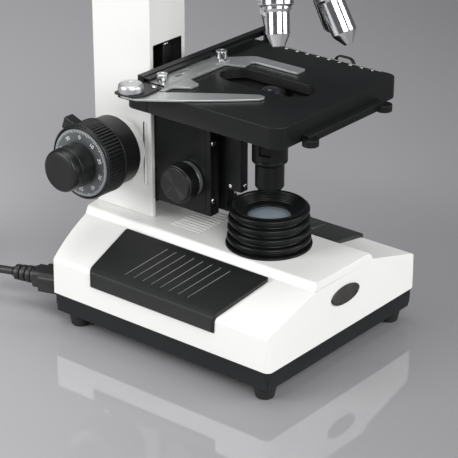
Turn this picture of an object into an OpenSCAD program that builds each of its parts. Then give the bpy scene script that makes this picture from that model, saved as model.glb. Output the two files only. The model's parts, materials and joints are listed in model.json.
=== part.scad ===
// Compound microscope with a binocular head, a mechanical stage and a mains-lit base.
// Millimetres, +Z up. The origin is under the middle of the instrument, where the feet stand.
// The badge and the stage's free corners face -Y, the limb stands at +Y.

/* [Base] */
// Width of the base over its lower walls
base_w = 185; // [180:1:190]
// Distance from the optical axis to the front wall's foot
base_front = 72.5; // [70:0.5:75]
// Distance from the optical axis to the rear corners of the side walls
base_corner = 138; // [135:1:140]
// Distance from the optical axis to the middle of the bowed rear wall
base_rear = 158.2; // [157:0.1:160]
// Height of the joint between the white cover and the black tray
cover_z = 27.5; // [26:0.5:29]
// Height of the top edge of the side walls
wall_z = 56; // [54:1:58]
// Height of the flat top platform
deck_z = 77; // [76:0.5:78]
// Half width of the flat top platform
deck_hw = 33.5; // [32:0.5:35]
// Thickness of the cover's shell
shell = 3; // [2.5:0.5:4]

/* [Feet] */
// Height of the rubber feet under the tray
foot_h = 11; // [9:0.5:12]
// Radius of each foot where it stands
foot_r = 7; // [6:0.5:9]

/* [Limb] */
// Width of the limb
limb_w = 41; // [40:0.5:44]
// Distance from the optical axis to the limb's front flanges
limb_front = 98.8; // [98:0.1:100]
// Height of the limb's top face, where the head sits
limb_top = 326; // [324:1:330]

/* [Stage] */
// Width of the stage
stage_w = 144; // [142:1:146]
// Height of the stage's top face
stage_z = 205; // [204:0.5:206]
// Depth of the skirt round the stage
skirt_h = 16; // [15:0.5:17]

/* [Focus] */
// Radius of the knurled coarse knobs
coarse_r = 29.3; // [27:0.1:30]
// Radius of the fine knobs
fine_r = 16.8; // [15:0.1:17]

/* [Optics] */
// Height of the objectives' shoulders on the optical axis
shoulder_z = 275; // [274:1:278]
// Tilt of the revolving nosepiece
turret_tilt = 15; // [12:1:18]
// Slope of the eyepiece tubes above the horizontal
tube_slope = 30; // [25:5:35]

/* [Cord] */
// Diameter of the mains lead
lead_d = 6.5; // [6:0.5:7]

/* [Hidden] */
$fn = 48;

// Colours
white_paint = [0.90, 0.90, 0.87];
black_paint = [0.13, 0.14, 0.14];
tray_grey = [0.20, 0.21, 0.21];
rubber_black = [0.08, 0.08, 0.08];
silver = [0.75, 0.76, 0.77];
bright_steel = [0.85, 0.85, 0.86];
glass_tint = [0.55, 0.62, 0.68];

// Working values shared by several parts
axis_y = -37;              // the optical axis stands this far along Y
hw = base_w / 2;
step_z = deck_z - 6;       // foot of the small step round the platform
step_hw = deck_hw + 3.5;
slope_dz = step_z - wall_z;
slope_dx = hw - 1 - step_hw;
rest_t = 3;                // palm rest thickness
focus_y = 127.8;           // focus shaft, from the optical axis
focus_z = 130.8;
arm_hw = limb_w / 2;
channel_hw = 16.4;         // half width of the channel in the limb's front
channel_back = 118;        // how far back that channel goes
channel_top = 216;
carr_hw = 16;              // half width of the stage carriage
carr_front = 44;           // its front face, from the optical axis
carr_z0 = 91.5;
carr_z1 = 188.5;
web_hw = 4.2;              // half width of the condenser slide
cond_knob_y = 64.5;
cond_knob_z = 118;
stage_hw = stage_w / 2;
stage_front = 63.7;
stage_joint = 56.5;        // where the rear strip meets the stage plate
stage_back = 78.5;
low_z0 = 188.5;
low_z1 = 196.2;
pivot = [-85, 60, stage_z];        // pivot of the spring finger
drive = [81, 62];                  // stage drive shaft
turret_r = 24;                     // objective circle on the nosepiece
arm_under = 296;                   // underside of the limb's overhang
head_z = limb_top;
head_pivot = [0, 2, 372];          // on the hinge line of the eyepiece tubes
tube_off = 36;                     // eyepiece tube to hinge line
tube_drop = 26;                    // rest angle of each tube below the level
inlet_x = -67.5;                   // mains inlet on the rear wall
inlet_z = 25.5;
inlet_turn = 17.7;
switch_z = 43;

// Outline helpers ------------------------------------------------------------------------

// Points of an arc from angle a0 to a1 round centre c
function arc(c, r, a0, a1, n = 8) =
    [for (i = [0:n]) let (a = a0 + (a1 - a0) * i / n) [c[0] + r * cos(a), c[1] + r * sin(a)]];

function unit2(v) = v / norm(v);

// One rounded corner at b between a and c, radius r
function corner(a, b, c, r, n = 5) =
    let (u = unit2(a - b), v = unit2(c - b),
         half = acos(u * v) / 2,
         mid = b + unit2(u + v) * r / sin(half),
         p0 = b + u * r / tan(half), p1 = b + v * r / tan(half),
         a0 = atan2(p0[1] - mid[1], p0[0] - mid[0]),
         raw = atan2(p1[1] - mid[1], p1[0] - mid[0]) - a0,
         turn = raw > 180 ? raw - 360 : raw < -180 ? raw + 360 : raw)
    [for (i = [0:n]) mid + r * [cos(a0 + turn * i / n), sin(a0 + turn * i / n)]];

// A closed outline from [x, y, radius] corners
function rounded(p) = let (n = len(p)) [
    for (i = [0:n - 1]) let (
        a = p[(i + n - 1) % n], b = p[i], c = p[(i + 1) % n])
        each b[2] > 0 ? corner([a[0], a[1]], [b[0], b[1]], [c[0], c[1]], b[2]) : [[b[0], b[1]]]
];

module on_axis() { translate([0, axis_y, 0]) children(); }

// Extrudes an outline drawn in X and Z along Y, from y0 to y1
module along_y(y0, y1) { translate([0, y1, 0]) rotate([90, 0, 0]) linear_extrude(y1 - y0) children(); }

// Extrudes an outline drawn in Y and Z along X, from x0 to x1
module along_x(x0, x1) {
    translate([x0, 0, 0]) rotate([90, 0, 90]) linear_extrude(x1 - x0) children();
}

module rod_x(x0, x1, r) { translate([x0, 0, 0]) rotate([0, 90, 0]) cylinder(r = r, h = x1 - x0); }

module at_focus() { on_axis() translate([0, focus_y, focus_z]) children(); }

module box(p0, p1) { translate(p0) cube(p1 - p0); }

// Base ------------------------------------------------------------------------------------

// A frame on the bowed rear wall: its +Y looks squarely out of the wall at x
module at_rear(x, z) {
    translate([x, bow(x, 0), z]) rotate([0, 0, -sign(x) * inlet_turn]) children();
}

// Plan of the base, drawn in by d on every side
function bow(x, d) = base_rear - d - (base_rear - base_corner) * pow(x / hw, 2);
function plan(d, r) = concat(
    rounded([[-hw + d, base_corner - d, 0], [-hw + d, -base_front + d, r],
             [hw - d, -base_front + d, r], [hw - d, base_corner - d, 0]]),
    [for (i = [1:15]) let (x = (hw - d) * (1 - i / 8)) [x, bow(x, d)]]);

function profile(d) = let (k = d * 0.96) rounded([
    [-hw + d, cover_z - 1 + (d > 0 ? -1 : 1), 0], [-hw + 1 + d, wall_z - k * 0.8, d > 0 ? 1 : 4],
    [-step_hw + k * 0.3, step_z - k, d > 0 ? 0.5 : 1.5], [-deck_hw + k * 0.3, deck_z - k, d > 0 ? 0.5 : 2.5],
    [deck_hw - k * 0.3, deck_z - k, d > 0 ? 0.5 : 2.5], [step_hw - k * 0.3, step_z - k, d > 0 ? 0.5 : 1.5],
    [hw - 1 - d, wall_z - k * 0.8, d > 0 ? 1 : 4], [hw - d, cover_z - 1 + (d > 0 ? -1 : 1), 0]]);

function side_draft(d) = [
    [-base_front + d, cover_z - 2], [base_rear - d, cover_z - 2], [base_rear - d, deck_z + 1],
    [-base_front + 2.5 + d, deck_z + 1]];

module base_form(d) {
    intersection() {
        along_y(-base_front - 1, base_rear + 1) polygon(profile(d));
        translate([0, 0, cover_z - (d > 0 ? 2 : 0)]) linear_extrude(60) polygon(plan(d, 5));
        along_x(-hw - 1, hw + 1) polygon(side_draft(d));
    }
}

vent_pitch = 4;
module vents() {
    for (i = [-5:5]) translate([i * vent_pitch, 66, deck_z - shell - 1]) {
        box([-1, -14, 0], [1, 14, shell + 3]);
    }
}

module base_cover() {
    color(white_paint) on_axis() {
        difference() {
            base_form(0);
            base_form(shell);
            cylinder(r = 24, h = 100);
            vents();
            // openings for the inlet, the switch and the dimmer wheel
            at_rear(inlet_x, inlet_z) box([-14, -20, -10.5], [14, 9, 10.5]);
            at_rear(-inlet_x, switch_z) box([-7, -20, -10], [7, 9, 10]);
            translate(wheel_at) box([0, -12, -2.9], [20, 12, 2.9]);
            for (p = limb_bolt_at) translate([p[0], p[1], 50]) cylinder(r = 3.2, h = 50);
        }
    }
}

tray_z0 = foot_h;
module tray_form(d) {
    intersection() {
        translate([0, 0, tray_z0 + d]) linear_extrude(cover_z - tray_z0) polygon(plan(0.8 + d, 6));
        along_y(-base_front - 1, base_rear + 1) polygon([
            [-hw + 3.2 + d, tray_z0 + d], [hw - 3.2 - d, tray_z0 + d],
            [hw - 0.6 - d, cover_z + d], [-hw + 0.6 + d, cover_z + d]]);
        along_x(-hw - 1, hw + 1) polygon([
            [-base_front + 3.2 + d, tray_z0 + d], [base_rear - 3 - d, tray_z0 + d],
            [base_rear - 0.6 - d, cover_z + d], [-base_front + 0.6 + d, cover_z + d]]);
    }
}

foot_at = [[-78.6, -58.6], [78.6, -58.6], [-78.6, 124], [78.6, 124]];
limb_bolt_at = [[-12, 127], [12, 127], [-12, 148], [12, 148]];

module bottom_tray() {
    color(tray_grey) on_axis() difference() {
        tray_form(0);
        tray_form(3);
        at_rear(inlet_x, inlet_z) box([-14, -20, -10.5], [14, 9, 10.5]);
        for (p = foot_at) translate([p[0], p[1], tray_z0 - 1]) cylinder(r = 2.1, h = 8);
    }
}

module feet() {
    color(rubber_black) on_axis() for (p = foot_at) translate([p[0], p[1], 0]) rotate_extrude()
        polygon([[3.2, 0], [foot_r - 0.8, 0], [foot_r, 0.8], [foot_r + 2, foot_h], [2.1, foot_h],
                 [2.1, 5], [4.2, 5], [4.2, 3.4], [3.2, 3.4]]);
}

module base_screws() {
    color(bright_steel) on_axis() {
        for (p = foot_at) translate([p[0], p[1], 5]) {
            cylinder(r = 1.95, h = 12);
            difference() {
                translate([0, 0, -1.6]) cylinder(r = 4, h = 1.6);
                translate([-0.5, -3, -1.8]) cube([1, 6, 1]);
            }
        }
        for (p = limb_bolt_at) translate([p[0], p[1], deck_z - shell - 5]) {
            cylinder(r = 5, h = 4.9, $fn = 6);
            cylinder(r = 3, h = 18);
        }
    }
}

// Palm rests: a plate on the slope with a lip turned down over the wall's top edge
rest_y0 = -32.6;
rest_y1 = 108;
function rest_section() = let (
    nx = slope_dz / norm([slope_dz, slope_dx]), nz = slope_dx / norm([slope_dz, slope_dx]),
    xa = 39.5, za = step_z - (xa - step_hw) * slope_dz / slope_dx)
    [[xa, za + 0.05], [xa, za + 1.2], [xa + 1.5, za + rest_t * nz - 0.4],
     [hw - 3, wall_z + 1.2 + rest_t * nz], [hw + 0.4, wall_z + 1.4], [hw + 1.4, wall_z - 1.5],
     [hw + 1.7, 46], [hw + 0.8, 44.8], [hw - 0.35, 44.8], [hw - 0.75, wall_z - 2],
     [hw - 2.2, wall_z + 0.25], [hw - 5, wall_z + 1.15]];

module palm_rest() {
    difference() {
        intersection() {
            along_y(rest_y0, rest_y1) polygon(rest_section());
            linear_extrude(90) polygon(rounded([
                [39, rest_y0, 4], [hw + 2.5, rest_y0 + 10.6, 5], [hw + 2.5, rest_y1 - 9, 5],
                [39, rest_y1, 4]]));
        }
        base_form(0);
        // thin grooves across the slope, parallel to the front edge
        for (i = [0:7]) translate([46, 60 - i * 8.72, 0]) rotate([0, 0, 14]) translate([0, 0, wall_z - 6])
            groove_cut();
    }
}

// A groove follows the slope, 0.5 deep
module groove_cut() {
    rotate([0, atan2(slope_dz, slope_dx), 0]) translate([-4.5, -0.4, 18.7]) cube([41, 0.8, 5]);
}

module palm_rest_right() { color(black_paint) on_axis() palm_rest(); }
module palm_rest_left() { color(black_paint) on_axis() mirror([1, 0, 0]) palm_rest(); }

module badge() {
    color([0.16, 0.14, 0.12]) on_axis() translate([0, -base_front + 1.4, 56.2])
        rotate([90, 0, 0]) rotate([-2.9, 0, 0]) linear_extrude(1.6) polygon(
            [for (i = [0:47]) [17 * cos(i * 7.5), 7 * sin(i * 7.5)]]);
}

// Light collector -------------------------------------------------------------------------

ring_pitch = 7.4;
module collector_housing() {
    color(black_paint) on_axis() translate([0, 0, deck_z])
        rotate_extrude($fn = 96) polygon(concat(
            [[22, -6], [23.8, -6], [23.8, 0], [33, 0], [33, 1.8]],
            [for (i = [0:3]) let (z = 3 + i * ring_pitch, r = 32 - i * 0.45) each
                [[r - 2.2, z - 0.9], [r - 2.2, z], [r - 0.6, z + 1], [r, z + 2.2], [r, z + 4.6],
                 [r - 0.8, z + 5.6], [r - 2.2, z + 6]]],
            [[28.2, 32], [27, 32], [25.5, 29.5], [23, 29.5], [21.5, 27], [16.4, 25],
             [16.4, 23.2], [19, 23.2], [19, 18],
             [17.5, 18], [17.5, 15.5], [22, 12]]));
}

module field_lens() {
    color(glass_tint) on_axis() translate([0, 0, deck_z + 18]) rotate_extrude($fn = 64) polygon(
        concat([[0, 0], [18.9, 0], [18.9, 4]], arc([0, -38], 46, 66, 90, 8)));
}

module lamp() {
    color(glass_tint) on_axis() translate([0, 0, 44]) {
        rotate_extrude() polygon(concat([[0, -8], [4.6, -8], [4.6, 8]], arc([0, 8], 4.5, 0, 90, 6)));
        for (s = [-1, 1]) translate([s * 2, 0, -15]) cylinder(r = 0.6, h = 7.5);
    }
}

module power_supply() {
    on_axis() {
        // lamp socket on a bracket
        color([0.85, 0.82, 0.75]) difference() {
            box([-11, -8, tray_z0 + 3], [11, 8, 36]);
            for (s = [-1, 1]) translate([s * 2, 0, 20]) cylinder(r = 0.7, h = 20);
        }
        // circuit board on four posts, and the transformer
        color([0.10, 0.32, 0.18]) translate([-45, 20, tray_z0 + 8]) {
            cube([90, 50, 1.6]);
            for (x = [5, 85], y = [5, 45]) translate([x, y, -5]) cylinder(r = 3, h = 5.1);
        }
        color([0.55, 0.45, 0.20]) box([-28, 80, tray_z0 + 3], [28, 125, tray_z0 + 40]);
        // dimmer potentiometer, which carries the wheel
        color([0.20, 0.25, 0.60]) difference() {
            box([wheel_at[0] - 7, wheel_at[1] - 7, tray_z0 + 3], [wheel_at[0] + 4, wheel_at[1] + 7, 38]);
            translate([wheel_at[0], wheel_at[1], 31]) cylinder(r = 3.05, h = 10);
        }
    }
}

module power_inlet() {
    on_axis() at_rear(inlet_x, inlet_z) {
        color(black_paint) difference() {
            box([-13.8, -22, -10.3], [13.8, 2.4, 10.3]);
            box([-12, -16, -8.4], [12, 4, 8.4]);
        }
        color(bright_steel) for (x = [-6, 0, 6]) box([x - 1, -16.1, -2], [x + 1, -3, 2]);
    }
    color(black_paint) on_axis() difference() {
        at_rear(inlet_x, inlet_z) wall_flange(16.5, 12.5, 13.8, 10.3);
        base_form(0);
        tray_form(0);
    }
}

// A flat rim round a wall fitting, w and h half sizes outside and inside
module wall_flange(w, h, w_in, h_in) {
    difference() {
        box([-w, -3, -h], [w, 2.4, h]);
        box([-w_in, -4, -h_in], [w_in, 4, h_in]);
    }
}

module switch_bezel() {
    color(black_paint) on_axis() at_rear(-inlet_x, switch_z) difference() {
        box([-6.8, -24, -9.8], [6.8, 2.4, 9.8]);
        box([-5.3, -8, -8.6], [5.3, 4, 8.6]);
        translate([0, -2, 0]) rod_x(-6.2, 6.2, 1.03);
    }
    color(black_paint) on_axis() difference() {
        at_rear(-inlet_x, switch_z) wall_flange(9, 12, 6.8, 9.8);
        base_form(0);
    }
}

module switch_rocker() {
    color([0.5, 0.06, 0.05]) on_axis() at_rear(-inlet_x, switch_z) translate([0, -2, 0]) {
        rotate([7, 0, 0]) along_x(-5, 5) polygon([[-4.6, -4.5], [2.4, -7.9], [5.6, -7.7], [4.4, 0],
                                                 [5.6, 7.7], [2.4, 7.9], [-4.6, 4.5]]);
        rod_x(-6.1, 6.1, 1);
    }
}

// The dimmer is a wheel that lies flat in a slot of the right wall and shows only its rim
wheel_at = [81, -46, 42];
wheel_r = 13.2;
module dimmer_knob() {
    color(black_paint) on_axis() translate(wheel_at) difference() {
        union() {
            translate([0, 0, -2.5]) cylinder(r = wheel_r, h = 5, $fn = 96);
            translate([0, 0, -10]) cylinder(r = 3, h = 13);
        }
        for (i = [0:29]) rotate([0, 0, i * 12]) translate([wheel_r + 0.3, 0, -3]) cylinder(r = 0.8, h = 6);
    }
}

// Limb --------------------------------------------------------------------------------------

module limb_outline() {
    polygon(rounded([[limb_front, deck_z, 0], [157, deck_z, 0], [157, limb_top, 52], [-31, limb_top, 2],
                     [-31, arm_under, 2], [limb_front, arm_under, 44]]));
}

module arm() {
    color(white_paint) on_axis() difference() {
        union() {
            along_x(-arm_hw, arm_hw) limb_outline();
            translate([0, 0, arm_under]) cylinder(r = 34, h = limb_top - arm_under, $fn = 96);
            // round bosses for the focus knobs
            translate([0, focus_y, focus_z]) rod_x(-30.6, 30.6, 21.5, $fn = 96);
        }
        // channel for the guide block, and a pocket behind it for the rack and pinion
        box([-channel_hw, 50, deck_z - 1], [channel_hw, channel_back, channel_top]);
        box([-6.5, channel_back - 1, 90], [6.5, 137, 212]);
        // shallow upright groove on each side face
        for (s = [-1, 1]) translate([s * arm_hw, 0, 0]) box([-0.8, 103.4, 103], [0.8, 106.2, 155]);
        translate([0, focus_y, focus_z]) rod_x(-40, 40, 8.3);
        // light path and the seat of the head
        cylinder(r = 13, h = 400);
        translate([0, 0, limb_top - 6]) cylinder(r = 24.05, h = 10, $fn = 96);
        translate([0, 0, limb_top - 3]) rod_x(10, 50, 2.05);
        for (p = limb_bolt_at) translate([p[0], p[1], deck_z - 1]) cylinder(r = 3.02, h = 12);
    }
}

// Focus -------------------------------------------------------------------------------------

module guide_block() {
    color(bright_steel) on_axis() difference() {
        box([-16.1, 108.3, 96], [16.1, 117.7, 210]);
        box([-5.8, 107, 90], [5.8, 119, 214]);
    }
}

module carriage() {
    color(black_paint) on_axis() difference() {
        union() {
            box([-carr_hw, carr_front + 5, carr_z0], [carr_hw, 108, carr_z1]);
            // rack
            box([-5.5, 107, carr_z0 + 3], [5.5, 118.4, carr_z1 - 3]);
            for (i = [0:28]) translate([-5, 0, carr_z0 + 6 + i * 3]) box([0, 118.3, 0], [10, 119.4, 1.5]);
        }
        // channel for the condenser slide, and the pocket for its pinion
        box([-11.3, carr_front, carr_z0 - 1], [11.3, 55.3, carr_z1 + 1]);
        box([-7, 55.2, 106], [7, 75, 130]);
        translate([0, cond_knob_y, cond_knob_z]) rod_x(-20, 12, 4.03);
        for (p = gib_screw_at) translate([p[0], carr_front + 3, p[1]]) rotate([-90, 0, 0])
            cylinder(r = 1.52, h = 12);
        for (p = plate_screw_at) translate([p[0], p[1], carr_z1 - 12]) cylinder(r = 1.97, h = 14);
    }
}

gib_screw_at = [[-12.9, 104], [-12.9, 150.6], [12.9, 104], [12.9, 150.6]];
plate_screw_at = [[-11, 70], [11, 70], [-11, 92], [11, 92]];

module gib_bars() {
    color(black_paint) on_axis() for (s = [-1, 1]) difference() {
        translate([s * (carr_hw + 6) / 2, 0, 0])
            box([-(carr_hw - 6) / 2, carr_front, carr_z0], [(carr_hw - 6) / 2, carr_front + 5, carr_z1]);
        for (p = gib_screw_at) translate([p[0], carr_front - 1, p[1]]) rotate([-90, 0, 0])
            cylinder(r = 1.52, h = 12);
    }
}

module carriage_screws() {
    color(bright_steel) on_axis() {
        for (p = gib_screw_at) translate([p[0], carr_front, p[1]]) rotate([-90, 0, 0]) {
            cylinder(r = 1.5, h = 13);
            translate([0, 0, -1.2]) cylinder(r = 2.3, h = 1.2);
        }
        for (p = plate_screw_at) translate([p[0], p[1], low_z1]) {
            translate([0, 0, -15]) cylinder(r = 1.95, h = 14);
            translate([0, 0, -2]) cylinder(r = 3.4, h = 2);
        }
    }
}

module coarse_shaft() {
    color(bright_steel) at_focus() difference() {
        rod_x(-64, 64 - right_in, 8.25);
        rod_x(-70, 70, 4.05);
        for (i = [0:15]) rotate([i * 22.5, 0, 0]) translate([0, 8.6, 0]) box([-5.2, -1.6, -0.8], [5.2, 1, 0.8]);
    }
}

// The right knobs have no tension ring behind them, so they sit nearer the limb
right_in = 14;
module knob_pair() {
    translate([-right_in, 0, 0]) children();
    mirror([1, 0, 0]) children();
}

module coarse_knobs() {
    color(black_paint) at_focus() knob_pair() difference() {
        union() {
            rod_x(46, 67.5, coarse_r - 1, $fn = 96);
            rod_x(46, 48.5, coarse_r, $fn = 96);
            rod_x(66, 68.7, coarse_r, $fn = 96);
            for (i = [0:47]) rotate([i * 7.5, 0, 0])
                box([48, coarse_r - 1.6, -0.85], [66.5, coarse_r - 0.1, 0.85]);
        }
        rod_x(45, 64, 8.25);
        rod_x(60, 70, 4.6);
        rod_x(66.4, 70, coarse_r - 2, $fn = 96);
    }
}

module tension_ring() {
    color(black_paint) at_focus() difference() {
        union() {
            rod_x(-45.6, -31, 27.2, $fn = 96);
            // lever lug
            rotate([20, 0, 0]) box([-43, 20, -5], [-34, 45, 5]);
        }
        rod_x(-50, -30, 8.3);
    }
}

module fine_shaft() { color(bright_steel) at_focus() rod_x(-90.5, 90.5 - right_in, 4); }

module fine_knobs() {
    color(black_paint) at_focus() knob_pair() difference() {
        translate([69.2, 0, 0]) rotate([0, 90, 0]) rotate_extrude($fn = 96) polygon(concat(
            [[0, 0], [fine_r - 1, 0]], [[fine_r, 1.2]], arc([fine_r - 3.5, 19.8], 3.5, 0, 90, 6),
            [[0, 23.3]]));
        rod_x(60, 90.5, 4);
    }
}

module fine_dial() {
    color([0.42, 0.45, 0.46]) at_focus() knob_pair() difference() {
        rod_x(66.8, 69.1, coarse_r - 2.4, $fn = 96);
        rod_x(60, 75, 4);
        for (i = [0:49]) rotate([i * 7.2, 0, 0]) box([68.8, i % 5 == 0 ? 22 : 24, -0.2], [70, 28, 0.2]);
    }
}

// Condenser ---------------------------------------------------------------------------------

cond_z0 = 121.8;
cond_z1 = 199;
module condenser_slide() {
    color(black_paint) on_axis() difference() {
        union() {
            box([-web_hw, 37, 94], [web_hw, 51, 182]);
            box([-web_hw, 24, 112.5], [web_hw, 38, 182]);
            box([-11, 49.3, 97], [11, 55, 182]);
            translate([0, 0, 172]) cylinder(r = 20, h = 10, $fn = 96);
            box([-web_hw, 14, 172], [web_hw, 30, 182]);
        }
        translate([0, 0, 160]) cylinder(r = 13.55, h = 40, $fn = 96);
        rotate([0, 0, 180]) translate([0, 0, 177]) rod_x(10, 30, 1.55);
    }
}

module condenser_knob() {
    color(black_paint) on_axis() translate([0, cond_knob_y, cond_knob_z]) {
        rod_x(-32.5, -21.5, 15.2, $fn = 96);
        rod_x(-34, -32.4, 14, $fn = 96);
    }
    color(silver) on_axis() translate([0, cond_knob_y, cond_knob_z]) {
        rod_x(-21.6, -16.4, 14.6, $fn = 64);
        rod_x(-17, 10, 4);
        difference() {
            rod_x(-5, 5, 9.1);
            for (i = [0:17]) rotate([i * 20, 0, 0]) translate([0, 9.6, 0])
                box([-6, -1.6, -0.8], [6, 1, 0.8]);
        }
    }
}

module condenser_body() {
    color(black_paint) on_axis() difference() {
        rotate_extrude($fn = 96) polygon([
            [8, cond_z0], [9, cond_z0], [11, cond_z0 + 2.5], [11, 142], [13.5, 144.3], [13.5, 146],
            [13.1, 146.3], [13.1, 146.8], [13.5, 147.1], [13.5, 192], [12, 196], [10.5, cond_z1],
            [8.4, cond_z1], [8.4, 186], [8, 186]]);
        // window for the iris lever, and the recess round the centring screw
        translate([0, 0, 165]) box([-2, -20, -1.6], [20, 20, 1.6]);
        rotate([0, 0, 200]) box([11, -4.6, 151.6], [20, 4.6, 160.5]);
    }
}

module condenser_screw() {
    color(silver) on_axis() rotate([0, 0, 180]) translate([0, 0, 177]) {
        rod_x(13.6, 24, 1.5);
        difference() {
            rod_x(20.6, 29, 4.5);
            for (i = [0:11]) rotate([i * 30, 0, 0]) translate([0, 4.8, 0]) rod_x(22, 30, 0.6);
        }
    }
}

module condenser_lens() {
    color(glass_tint) on_axis() rotate_extrude() polygon(concat(
        [[0, 186], [8.3, 186], [8.3, cond_z1 - 1]], arc([0, cond_z1 - 9], 12, 46.3, 90, 6)));
}

module iris_lever() {
    color(black_paint) on_axis() rotate([0, 0, -20]) {
        difference() {
            translate([0, 0, 163.8]) cylinder(r = 7.92, h = 2.4);
            cylinder(r = 5, h = 300);
        }
        box([6.5, -1.2, 163.8], [23, 1.2, 166.2]);
        translate([25, 0, 165]) sphere(r = 2.6, $fn = 24);
    }
}

// Stage -------------------------------------------------------------------------------------

module stage_lower_plate() {
    color(black_paint) on_axis() difference() {
        union() {
            box([-60, -44, low_z0], [60, 96, low_z1]);
            // guide rails along both sides
            for (s = [-1, 1]) translate([s * 63, 0, 0]) box([-3.2, -40, 190], [3.2, 45, 194]);
        }
        cylinder(r = 16.5, h = 300);
        for (p = plate_screw_at) translate([p[0], p[1], low_z0 - 5]) {
            cylinder(r = 1.97, h = 20);
            translate([0, 0, 5 + low_z1 - low_z0 - 2]) cylinder(r = 3.5, h = 5);
        }
    }
}

module stage_top() {
    color(black_paint) on_axis() difference() {
        linear_extrude(stage_z) polygon(rounded([
            [-stage_hw, stage_joint, 0], [-stage_hw, -stage_front, 9], [stage_hw, -stage_front, 9],
            [stage_hw, stage_joint, 0]]));
        translate([0, 0, -1]) cube([400, 400, 2 * (stage_z - skirt_h + 1)], center = true);
        // hollow under the plate, open to the rear
        box([-67, -stage_front + 4, 150], [67, 90, low_z1 + 1]);
        // long opening for the light
        translate([-1, 0, 0]) hull() for (y = [-23.5, 28]) translate([0, y, 190]) cylinder(r = 14.5, h = 30);
    }
}

module x_guide() {
    color(black_paint) on_axis() difference() {
        union() {
            linear_extrude(stage_z) polygon(rounded([
                [-stage_hw, stage_joint + 0.3, 0], [stage_hw, stage_joint + 0.3, 0],
                [stage_hw, stage_back, 8], [-stage_hw, stage_back, 8]]));
            box([-20, 65, stage_z - 1], [62, 77, stage_z + 4]);
        }
        translate([0, 0, -1]) cube([400, 400, 2 * (stage_z - skirt_h + 1)], center = true);
        box([-67, 50, 150], [67, 90, low_z1 + 1]);
        box([-21, 68.7, stage_z + 1], [63, 75.3, stage_z + 8]);
    }
}

module front_rail() {
    color(black_paint) on_axis() {
        box([-46, -69.5, 188.4], [46, -stage_front, 194]);
        for (x = [-44.5, 44.5]) translate([x, -69.8, 187]) cylinder(r = 6, h = 5.2);
    }
}

module y_vernier() {
    color(black_paint) on_axis() {
        box([50, -22, 185.4], [76, -3, low_z0]);
        // reading window beside the stage's edge scale
        difference() {
            along_x(73.4, 76) polygon(rounded([
                [-22, low_z0 - 1, 0], [-3, low_z0 - 1, 0], [-3, 208.2, 6], [-22, 208.2, 6]]));
            along_x(70, 80) polygon(rounded([
                [-19.5, 201, 1], [-5.5, 201, 1], [-5.5, 206.9, 3], [-19.5, 206.9, 3]]));
        }
    }
}

// Slide holder ------------------------------------------------------------------------------

holder_t = 1.6;
holder_z = stage_z + 0.3;          // underside of the holder's thin parts
shelf_z = holder_z + holder_t;
thumb_at = [[-58, 53.5], [9, 53.5]];
slot_at = [[-36, 56.5], [-27, 60.2]];

module x_slider() {
    color(silver) on_axis() difference() {
        union() {
            box([-61, 69, stage_z + 1.2], [94, 75, stage_z + 6]);
            // stepped shelf over the guide's front wall
            box([-61, 63, stage_z + 4.2], [14, 75, stage_z + 5.4]);
            box([-61, 63, shelf_z], [14, 64.5, stage_z + 5]);
            box([-61, 49.5, shelf_z], [14, 64, shelf_z + 1.2]);
        }
        for (p = thumb_at) translate([p[0], p[1], 190]) cylinder(r = 1.6, h = 30);
        for (p = slot_at) translate([p[0], p[1], 190]) box([-4.6, -1.4, 0], [4.6, 1.4, 30]);
    }
}

module holder_bracket() {
    color(silver) on_axis() difference() {
        translate([0, 0, holder_z]) linear_extrude(holder_t) polygon(rounded([
            [-68, 50.5, 1], [-65, 45.5, 2], [-56, 46, 2], [-48.5, 35, 1], [-39, 35, 2], [-34.5, 48, 2],
            [7, 48.5, 2], [12, 34, 2], [25, 36, 3], [25, -5.5, 1], [36, -5, 2], [36, 42, 8],
            [14, 63.5, 3], [-62, 63.5, 3], [-69, 60, 1]]));
        for (p = thumb_at) translate([p[0], p[1], 190]) cylinder(r = 1.6, h = 30);
        for (p = slot_at) translate([p[0], p[1], 190]) box([-4.6, -1.4, 0], [4.6, 1.4, 30]);
    }
}

module holder_screws() {
    color(bright_steel) on_axis() for (p = thumb_at) translate([p[0], p[1], holder_z]) {
        cylinder(r = 1.55, h = 3);
        translate([0, 0, 2.8]) difference() {
            union() {
                cylinder(r = 2.6, h = 2);
                translate([0, 0, 2]) cylinder(r = 4.3, h = 6);
            }
            for (i = [0:13]) rotate([0, 0, i * 360 / 14]) translate([4.5, 0, 2.6]) cylinder(r = 0.5, h = 8);
        }
    }
}

module pivot_plate() {
    color([0.1, 0.1, 0.1]) on_axis() difference() {
        translate([0, 0, shelf_z]) linear_extrude(1.4) polygon(rounded([
            [-94, 70, 3], [-93, 52, 4], [-84.5, 47, 4], [-64.5, 48.5, 2], [-64, 66, 3]]));
        translate([pivot[0], pivot[1], 190]) cylinder(r = 2.05, h = 40);
    }
}

function bend(a, b, c, n = 8) =
    [for (i = [0:n]) let (t = i / n) (1 - t) * (1 - t) * a + 2 * t * (1 - t) * b + t * t * c];

module spring_finger() {
    color(silver) on_axis() difference() {
        translate([0, 0, holder_z]) linear_extrude(1.4) polygon(concat(
            arc([pivot[0], pivot[1]], 8, 10, 200, 10),
            bend([-91.5, 49.5], [-68, 14], [-35.5, -18.2]), arc([-31.8, -15.2], 3.4, 235, 320, 5),
            bend([-28.4, -12.5], [-44, 12], [-66, 41])));
        translate([pivot[0], pivot[1], 190]) cylinder(r = 2.05, h = 40);
    }
}

module finger_cap() {
    color(silver) on_axis() translate([pivot[0], pivot[1], holder_z]) {
        cylinder(r = 2, h = 4);
        translate([0, 0, 3.05]) rotate_extrude($fn = 64) polygon(concat(
            [[0, 0], [9.2, 0]], arc([5.9, 3.4], 3.5, 0, 60, 5), arc([0, -10], 17.3, 66, 90, 6)));
    }
}

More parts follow.
